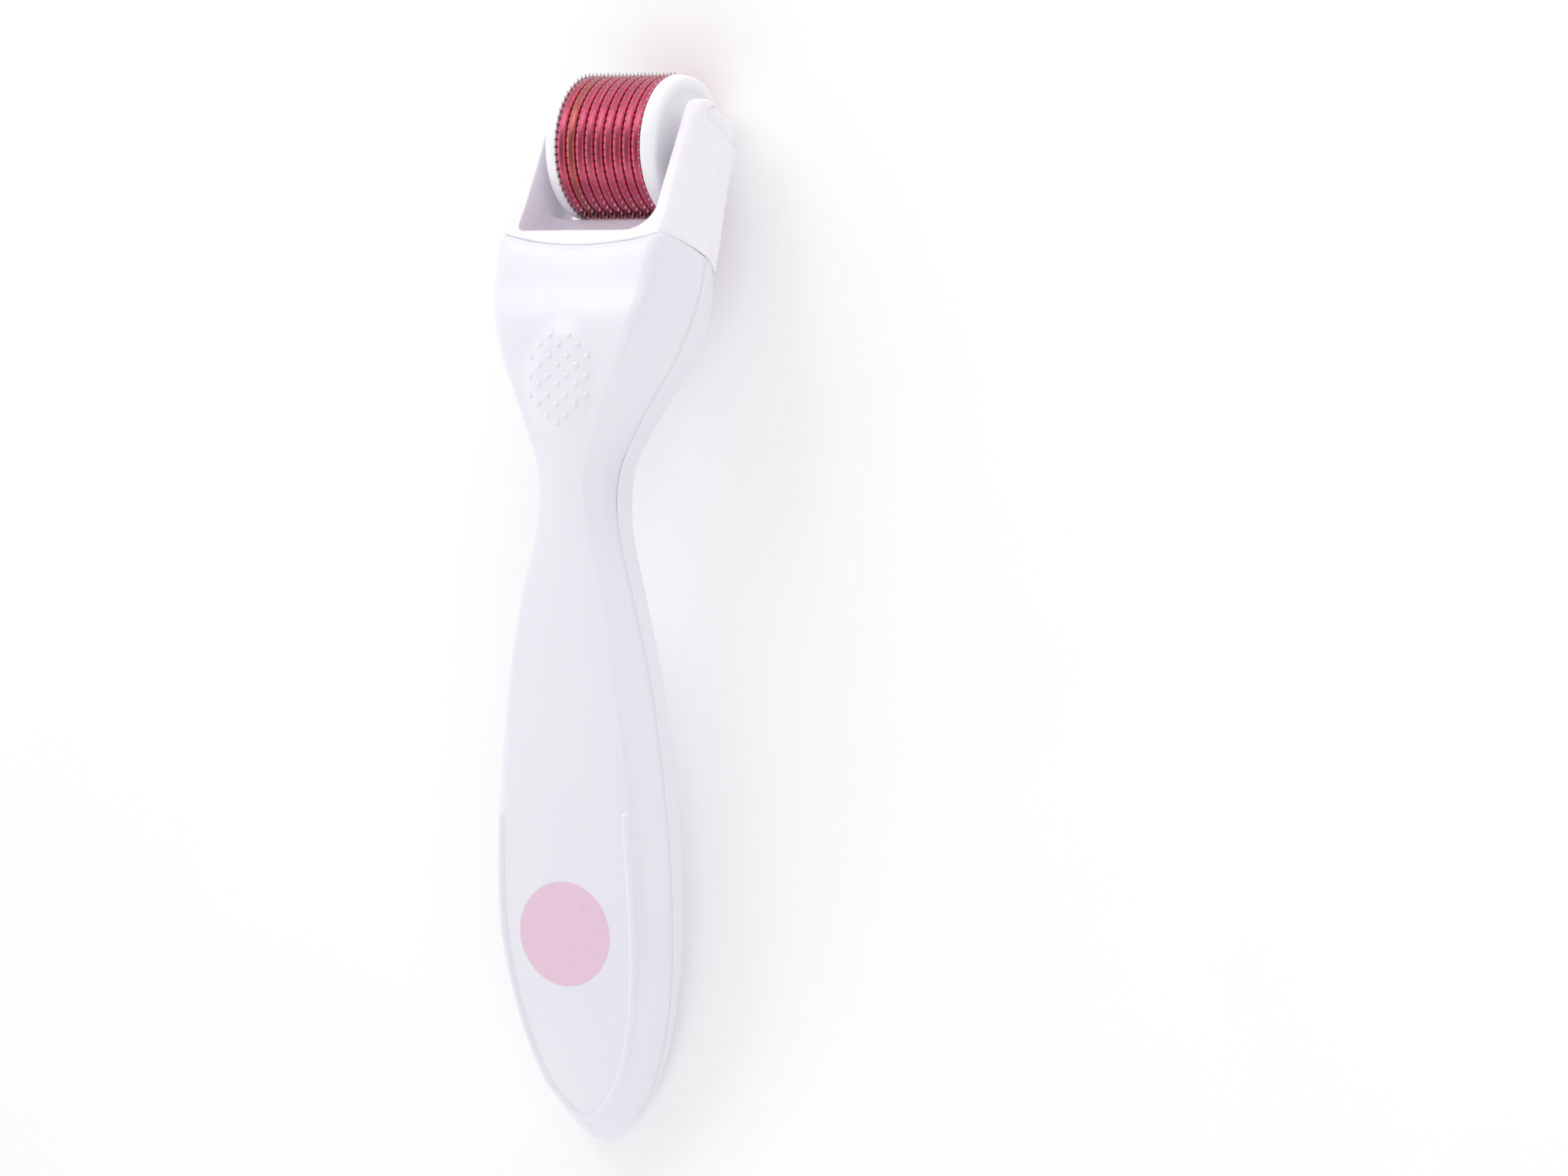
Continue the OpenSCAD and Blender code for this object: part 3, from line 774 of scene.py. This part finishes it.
def fork_half(corner_r):
    """Loops of one half, from the bar's middle out along the seam and up the arm."""
    loops = []
    corner = GAP_HALF - corner_r

    def on_bar(share, inner):
        def outer_of(v):
            x = share * (SEAM_HALF_W - edge_inset(CORNER_UP, -v))
            return (x, seam_arch(x) + SEAM_GAP)
        front = FRONT_OUT + BAR_CROWN * (1 - share ** 2)
        radii = (0.7, 0.35 + 0.5 * smooth(0.6, 1, share), 0.5 + 1.2 * share, 0.8)
        return fork_section(inner, outer_of, front, BAR_BACK, radii, mould_line(CORNER_UP))

    def on_arm(up_outer, inner):
        def outer_of(v):
            drawn_in = edge_inset(up_outer, -v) + recess(up_outer, -v) + tip_in(TIP_TOP_R, ARM_H, up_outer)
            return (arm_half_w(up_outer) - drawn_in, up_outer)
        front = FRONT_OUT * (1 - smooth(3, 9, inner[1])) - tip_in(TIP_FRONT_R, ARM_H, up_outer)
        back = -ARM_D - between(BACK_OUT, smooth(2, 26, up_outer)) + tip_in(TIP_BACK_R, ARM_H, up_outer)
        back += STEP_BACK * smooth(STEP_UP, STEP_UP + 0.14, up_outer)
        inner = (inner[0] + tip_in(TIP_INNER_R, ARM_H, up_outer), inner[1])
        return fork_section(inner, outer_of, front, back, ARM_RADII, mould_line(up_outer))

    for share in np.linspace(0, BAR_SHARE, 15)[:-1]:
        loops.append(on_bar(share, (share / BAR_SHARE * corner, BAR_H)))
    for t in np.linspace(0, 1, 19):
        angle = math.pi / 2 * (t - 1)
        inner = (corner + corner_r * math.cos(angle), BAR_H + corner_r * (1 + math.sin(angle)))
        if t <= 0.5:
            loops.append(on_bar(between((BAR_SHARE, 1), t / 0.5), inner))
            if t == 0.5:
                loops.append(on_arm(CORNER_UP, inner))
        else:
            loops.append(on_arm(CORNER_UP + (inner[1] - CORNER_UP) * (t - 0.5) / 0.5, inner))
    start = BAR_H + corner_r
    over_step = np.array((0, 0.35, 0.6, 0.8, 0.92, 0.98, 1))
    over_tip = np.sin(np.linspace(0, math.pi / 2, 14))[1:]
    ups = np.concatenate([
        np.linspace(start, STEP_UP - 0.2, 34)[1:], STEP_UP + STEP_ROUND * over_step,
        np.linspace(STEP_UP + 0.5, ARM_H - 2, 8), ARM_H - 2 * (1 - over_tip)])
    for up in ups:
        loops.append(on_arm(min(up, ARM_H - 1e-4), (GAP_HALF, up)))
    return np.array(loops)


CRADLE_R = 13.2
RAMP = [(BAR_H - 0.9, -5.6), (BAR_H + 0.6, -5.9), (6.5, -7.2), (9, -9)]  # (up, out) up to the lip
LIP_FRONT_D = 9.2
FILLET_R = 3.2


def cradle():
    """The block between the arms: a ramp that rises behind the bar to a lip hollowed out round the drum."""
    start = math.asin((LIP_FRONT_D - AXLE_BACK) / CRADLE_R)
    end = math.asin((ARM_D - 0.6 - AXLE_BACK) / CRADLE_R)
    hollow = [(AXLE_UP - CRADLE_R * math.cos(a), -AXLE_BACK - CRADLE_R * math.sin(a))
              for a in np.linspace(start, end, 9)]
    back = [(hollow[-1][0] - 0.5, hollow[-1][1] - 0.6), (6.0, -14.35), (BAR_H - 0.9, -14.9)]
    outline = RAMP + hollow + back
    radii = [0] + [1.6] * (len(RAMP) - 1) + [0.35] + [0] * (len(hollow) - 1) + [0.3, 0, 0]
    profile = rounded(outline, radii, 5)
    on_ramp = smooth(-11.2, -9.4, profile[:, 1]) * (profile[:, 0] > BAR_H)
    half = GAP_HALF + 0.6
    xs = np.concatenate([np.linspace(-half, 4 - half, 14)[:-1], np.linspace(4 - half, half - 4, 9),
                         np.linspace(half - 4, half, 14)[1:]])
    rows = []
    for x in xs:
        gap = np.clip(GAP_HALF - abs(x), 0, FILLET_R)
        forward = FILLET_R - math.sqrt(FILLET_R ** 2 - (FILLET_R - gap) ** 2)
        rows.append([(x, up, v + forward * f) for (up, v), f in zip(profile, on_ramp)])
    rows = np.array(rows)
    count, columns = rows.shape[:2]
    last = (count - 1) * columns
    faces = grid_faces(count, columns, wrap=True)
    faces += [tuple(range(columns)), tuple(last + i for i in reversed(range(columns)))]
    # The cradle takes the painted shade plastic, darker than the fork as if in the drum's shade
    obj = outward(new_object("cradle", place(rows.reshape(-1, 3), head_matrix), faces, painted_shade_white, "head"))
    sharpen(obj, 35)
    return obj


LIP_MIDDLE_D = 7.7
LIP_EDGE = ((-1.0, 0), (1.5, 0), (1.8, 0.1), (1.95, 0.25), (2.0, 0.45))  # (drop, inset) down its side


def lip_points():
    """The spigot lip under the fork: a rounded outline carried along the arched seam."""
    x = SEAM_HALF_W - 2.0
    outline = rounded([(-x + 3.6, -1.9), (x - 3.6, -1.9), (x - 1.6, -4), (x - 0.4, -7), (x, -10.4),
                       (x - 0.4, -12.6), (x - 1.6, -13.5), (-x + 1.6, -13.5), (-x + 0.4, -12.6),
                       (-x, -10.4), (-x + 0.4, -7), (-x + 1.6, -4)], 1.2, 4)
    fine = []
    for a, b in zip(outline, np.roll(outline, -1, axis=0)):
        count = max(1, int(np.linalg.norm(b - a) / 1.2))
        fine += [a + (b - a) * i / count for i in range(count)]
    fine = np.array(fine)
    rows = []
    for drop, inset in LIP_EDGE:
        scale = 1 - inset / 15
        rows.append([(px * scale, seam_arch(px) - drop, (pv + LIP_MIDDLE_D) * scale - LIP_MIDDLE_D)
                     for px, pv in fine])
    return np.array(rows)


TONGUE_CUT = -2.01
TONGUE_TOP = 0.4
TONGUE_EDGE = 0.14


def tongue_from_cad():
    """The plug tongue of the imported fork, cut off below the lip, with its edges broken."""
    mesh = bmesh.new()
    mesh.from_mesh(frame["nodes"]["head_fork"].data)
    mesh.transform(head_matrix.inverted())
    bmesh.ops.remove_doubles(mesh, verts=mesh.verts, dist=1e-4)
    geom = mesh.verts[:] + mesh.edges[:] + mesh.faces[:]
    bmesh.ops.bisect_plane(mesh, geom=geom, plane_co=(0, TONGUE_CUT, 0), plane_no=(0, 1, 0), clear_outer=True)
    bmesh.ops.dissolve_limit(mesh, angle_limit=0.02, verts=mesh.verts, edges=mesh.edges)
    rim = [e for e in mesh.edges if e.is_boundary]
    bmesh.ops.holes_fill(mesh, edges=rim)
    for v in mesh.verts:
        if abs(v.co.y - TONGUE_CUT) < 1e-3:
            v.co.y = TONGUE_TOP
    sharp = [e for e in mesh.edges if len(e.link_faces) == 2 and e.calc_face_angle(0) > 0.6
             and max(v.co.y for v in e.verts) < 0]
    bmesh.ops.bevel(mesh, geom=sharp, offset=TONGUE_EDGE, segments=2, affect="EDGES",
                    clamp_overlap=True)
    points = [tuple(v.co) for v in mesh.verts]
    index = {v: i for i, v in enumerate(mesh.verts)}
    faces = [tuple(index[v] for v in f.verts) for f in mesh.faces]
    mesh.free()
    return points, faces


def fork():
    """The two arms and the bar, the spigot lip and the tongue, as one piece."""
    right = fork_half(BAR_CORNER_R[1])
    left = fork_half(BAR_CORNER_R[0])[:0:-1] * (-1, 1, 1)
    body = np.concatenate([left, right])
    lip = lip_points()
    points = [tuple(p) for p in body.reshape(-1, 3)]
    faces = capped_grid(body)
    faces += capped_grid(lip, len(points))
    points += [tuple(p) for p in lip.reshape(-1, 3)]
    tongue, tongue_faces = tongue_from_cad()
    faces += [tuple(i + len(points) for i in f) for f in tongue_faces]
    points += tongue
    obj = outward(new_object("fork", place(points, head_matrix), faces, head_white, "head", "head_fork"))
    sharpen(obj, 35)
    return obj


fork()
cradle()

# ---------------------------------------------------------------------------------------------
# Drum: caps, rings and needle discs, each turned about the axle, and the axle pin
# ---------------------------------------------------------------------------------------------
DISC_T = 0.3
GROOVE_BETWEEN = 0.22
RING_CROWN = 0.17
RING_EDGE = 0.55     # radial width of a ring's turned side edge
RING_EDGE_DROP = 0.36
COPPER_RING = 1      # the one ring of another tint
CORE_R = 9.0
RING_R = 12.35
TIP_R = 12.98
NEEDLES = 60
AXLE_R = 1.5
PIN_HALF_L = 15.3
RIM_W = 2.3
BOSS_END = 12.4
DRUM_HALF_L = DISC_PITCH * (DISC_COUNT - 1) / 2 + DISC_T / 2
CAP_HALF_L = DRUM_HALF_L + RIM_W


def disc_x(i):
    """Where a needle disc sits along the axle."""
    return (i - (DISC_COUNT - 1) / 2) * DISC_PITCH


def spacer_ring(i):
    """An anodised ring with a crowned outside and turned edges."""
    a, b = disc_x(i) + GROOVE_BETWEEN / 2, disc_x(i + 1) - GROOVE_BETWEEN / 2
    middle, half = (a + b) / 2, (b - a) / 2
    profile = [(CORE_R, a), (RING_R - RING_EDGE, a)]
    for t in np.linspace(-1, 1, 25):
        drop = RING_CROWN * t * t + (RING_EDGE_DROP - RING_CROWN) * abs(t) ** 13
        profile.append((RING_R - drop, middle + t * half))
    profile += [(RING_R - RING_EDGE, b), (CORE_R, b)]
    tint = ring_copper if i == COPPER_RING else ring_pink
    return lathe(f"ring_{i + 1}", profile, axle_matrix, tint, "drum", f"spacer_ring_0{i + 1}", 256)


BODY_R = RING_R - 0.5
BODY_HALF_T = 0.11
NEEDLE_HALF_T = 0.07
# The outline of a needle: its radius, half width and share of the thickness, from root to point
NEEDLE_ROWS = ((BODY_R - 0.4, 0.26, 1), (RING_R - 0.1, 0.17, 1), (TIP_R - 0.1, 0.06, 0.8),
               (TIP_R, 0.015, 0.3))


def needle_disc(i):
    """A thin dark disc with fine pointed teeth; every other disc is turned by half a tooth."""
    x = disc_x(i)
    turn_by = i % 2 * math.pi / NEEDLES
    rim = NEEDLE_HALF_T * 0.6
    profile = [(CORE_R, x - BODY_HALF_T), (BODY_R - 0.1, x - BODY_HALF_T), (BODY_R, x - rim),
               (BODY_R, x + rim), (BODY_R - 0.1, x + BODY_HALF_T), (CORE_R, x + BODY_HALF_T)]
    points, faces = swept(profile, 120)
    for needle in range(NEEDLES):
        a = needle * 2 * math.pi / NEEDLES + turn_by
        out, side = np.array((math.cos(a), math.sin(a), 0)), np.array((-math.sin(a), math.cos(a), 0))
        axis = np.array((0, 0, 1))
        start = len(points)
        for r, w, t in NEEDLE_ROWS:
            for su, st in ((-1, -1), (1, -1), (1, 1), (-1, 1)):
                points.append(tuple(out * r + side * w * su + axis * (x + NEEDLE_HALF_T * t * st)))
        faces += grid_faces(len(NEEDLE_ROWS), 4, wrap=True, start=start)
        faces.append(tuple(range(start, start + 4)))
        faces.append(tuple(range(len(points) - 4, len(points))))
    obj = new_object(f"needles_{i + 1}", place(points, axle_matrix), faces, needle_steel, "drum",
                     f"needle_disc_{i + 1:02d}")
    outward(obj)
    sharpen(obj, 30)
    return obj


def end_cap(side):
    """A cap with a full rounded rim, a dished face and a boss that runs against the arm."""
    a, b = DRUM_HALF_L, CAP_HALF_L
    bore = AXLE_R + 0.06
    outline = [(bore, a), (RING_R + 0.1, a), (RING_R + 0.12, a + 0.9), (RING_R - 0.35, b),
               (RING_R - 1.9, b), (RING_R - 3.3, b - 0.6), (4.8, b - 0.75), (3.3, b - 0.7),
               (2.9, BOSS_END), (bore, BOSS_END)]
    profile = rounded(outline, [0, 0.12, 0.8, 1.0, 0.7, 1.6, 1.0, 0.6, 0.35, 0], 7)
    matrix = axle_matrix @ Matrix.Diagonal((1, 1, side, 1))
    name = "left" if side < 0 else "right"
    return lathe(f"cap_{name}", profile, matrix, drum_white, "drum", f"end_cap_{name}", 192)


def axle():
    """The steel pin, with a chamfer at each end."""
    c = 0.25
    centre = 0.001
    profile = [(centre, -PIN_HALF_L), (AXLE_R - c, -PIN_HALF_L), (AXLE_R, -PIN_HALF_L + c),
               (AXLE_R, PIN_HALF_L - c), (AXLE_R - c, PIN_HALF_L), (centre, PIN_HALF_L)]
    obj = lathe("axle", profile, axle_matrix, axle_steel, "head", "axle_pin", 64)
    sharpen(obj, 30)
    return obj


for index in range(DISC_COUNT - 1):
    spacer_ring(index)
for index in range(DISC_COUNT):
    needle_disc(index)
end_cap(-1)
end_cap(1)
axle()

# The two CAD nodes that stay as they are: the catch post and the tube inside the drum
for node, mat in (("catch_post", shell_white), ("drum_core", drum_white)):
    for material_slot in frame["nodes"][node].material_slots:
        material_slot.material = mat

# ---------------------------------------------------------------------------------------------
# Camera: it looks at the front face from 31 degrees to its right, with the head at the top
# ---------------------------------------------------------------------------------------------
VIEW_W = 265.97      # width of the camera's view, in mm at the seam
SEAM_FROM_MIDDLE = (-37.21, 57.79)  # mm across and up from the middle of the view
DISTANCE = 4.0
SENSOR_W = 36
turn = math.radians(31)
basis = handle_matrix.to_3x3() * (1 / MM)
cam_right = basis @ Vector((math.cos(turn), 0, -math.sin(turn)))
cam_up = basis @ Vector((0, 1, 0))
cam_back = basis @ Vector((math.sin(turn), 0, math.cos(turn)))
aim = handle_matrix.translation - (cam_right * SEAM_FROM_MIDDLE[0] + cam_up * SEAM_FROM_MIDDLE[1]) * MM
camera = bpy.data.objects.new("camera", bpy.data.cameras.new("camera"))
bpy.context.scene.collection.objects.link(camera)
rotation = Matrix((cam_right, cam_up, cam_back)).transposed()
camera.matrix_world = Matrix.Translation(aim + cam_back * DISTANCE) @ rotation.to_4x4()
camera.data.sensor_width = SENSOR_W
camera.data.lens = SENSOR_W * DISTANCE / (VIEW_W * MM)
camera.data.clip_start = 0.01
bpy.context.scene.camera = camera

# ---------------------------------------------------------------------------------------------
# Stage: a white floor in a bright room that is dimmer in a band across its middle and right
# ---------------------------------------------------------------------------------------------
floor_mat, floor_shader, floor_tree = new_material("floor", 0.6, specular=0.1)
paper = surface_noise(floor_tree, 20)
paper_tint = mixed(floor_tree, ranged(floor_tree, paper, 0, 1), (0.86, 0.86, 0.865), (0.85, 0.85, 0.855))
floor_tree.links.new(paper_tint, floor_shader.inputs["Base Color"])
floor_shader.inputs["Emission Color"].default_value = (1, 1, 1, 1)
floor_shader.inputs["Emission Strength"].default_value = 0.13
bpy.ops.mesh.primitive_plane_add(size=12)
floor = bpy.context.object
floor.name = "floor"
floor.data.materials.append(floor_mat)

ROOM = 1.02
DIM = 0.3            # share of the room's light that is left in the dim band
world = bpy.data.worlds.new("world")
bpy.context.scene.world = world
bpy.context.scene.view_settings.view_transform = "Standard"
bpy.context.scene.view_settings.exposure = 0.22
world.use_nodes = True
tree = world.node_tree
direction = add_node(tree, "ShaderNodeTexCoord").outputs["Generated"]


def room_ramp(axis, stops):
    """How dim the room is along an axis, from stops of (cosine of the angle to the axis, level)."""
    cosine = add_node(tree, "ShaderNodeVectorMath", {0: direction, 1: axis}, operation="DOT_PRODUCT")
    along = ranged(tree, cosine.outputs["Value"], 0, 1, -1, 1)
    ramp = color_ramp(tree, along, [((at + 1) / 2, (level,) * 3) for at, level in stops])
    ramp.color_ramp.interpolation = "EASE"
    return ramp.outputs[0]


across = room_ramp(RIGHT, [(-1, 0), (-0.8, 0), (-0.5, 1), (-0.15, 1), (0.15, 0.95), (1, 1)])
upright = room_ramp(cam_up, [(-1, 0), (-0.55, 0), (-0.25, 1), (0.3, 1), (0.7, 0.1), (1, 0)])
band = add_node(tree, "ShaderNodeMath", {0: across, 1: upright}, operation="MULTIPLY").outputs[0]
room_light = ranged(tree, band, ROOM, ROOM * DIM, 0, 1)
tree.links.new(room_light, tree.nodes["Background"].inputs["Strength"])
tree.nodes["Background"].inputs["Color"].default_value = (1, 1, 1, 1)


def area_light(name, location, target, size, energy):
    """A rectangular light that points at a target; size is its two sides in metres."""
    light = bpy.data.lights.new(name, "AREA")
    light.shape = "RECTANGLE"
    light.size, light.size_y = size
    light.energy = energy
    obj = bpy.data.objects.new(name, light)
    bpy.context.scene.collection.objects.link(obj)
    obj.location = location
    obj.rotation_euler = (Vector(target) - Vector(location)).to_track_quat("-Z", "Y").to_euler()


area_light("key", (-0.22, 0.38, 0.42), (0, 0.04, 0), (0.25, 0.25), 0.42)
area_light("top", (0.14, 0.75, 0.14), (0, 0.06, 0.02), (0.25, 0.2), 0.3)
area_light("fill", aim + cam_back * 0.8, (0, 0.02, 0.02), (0.7, 0.7), 0.9)
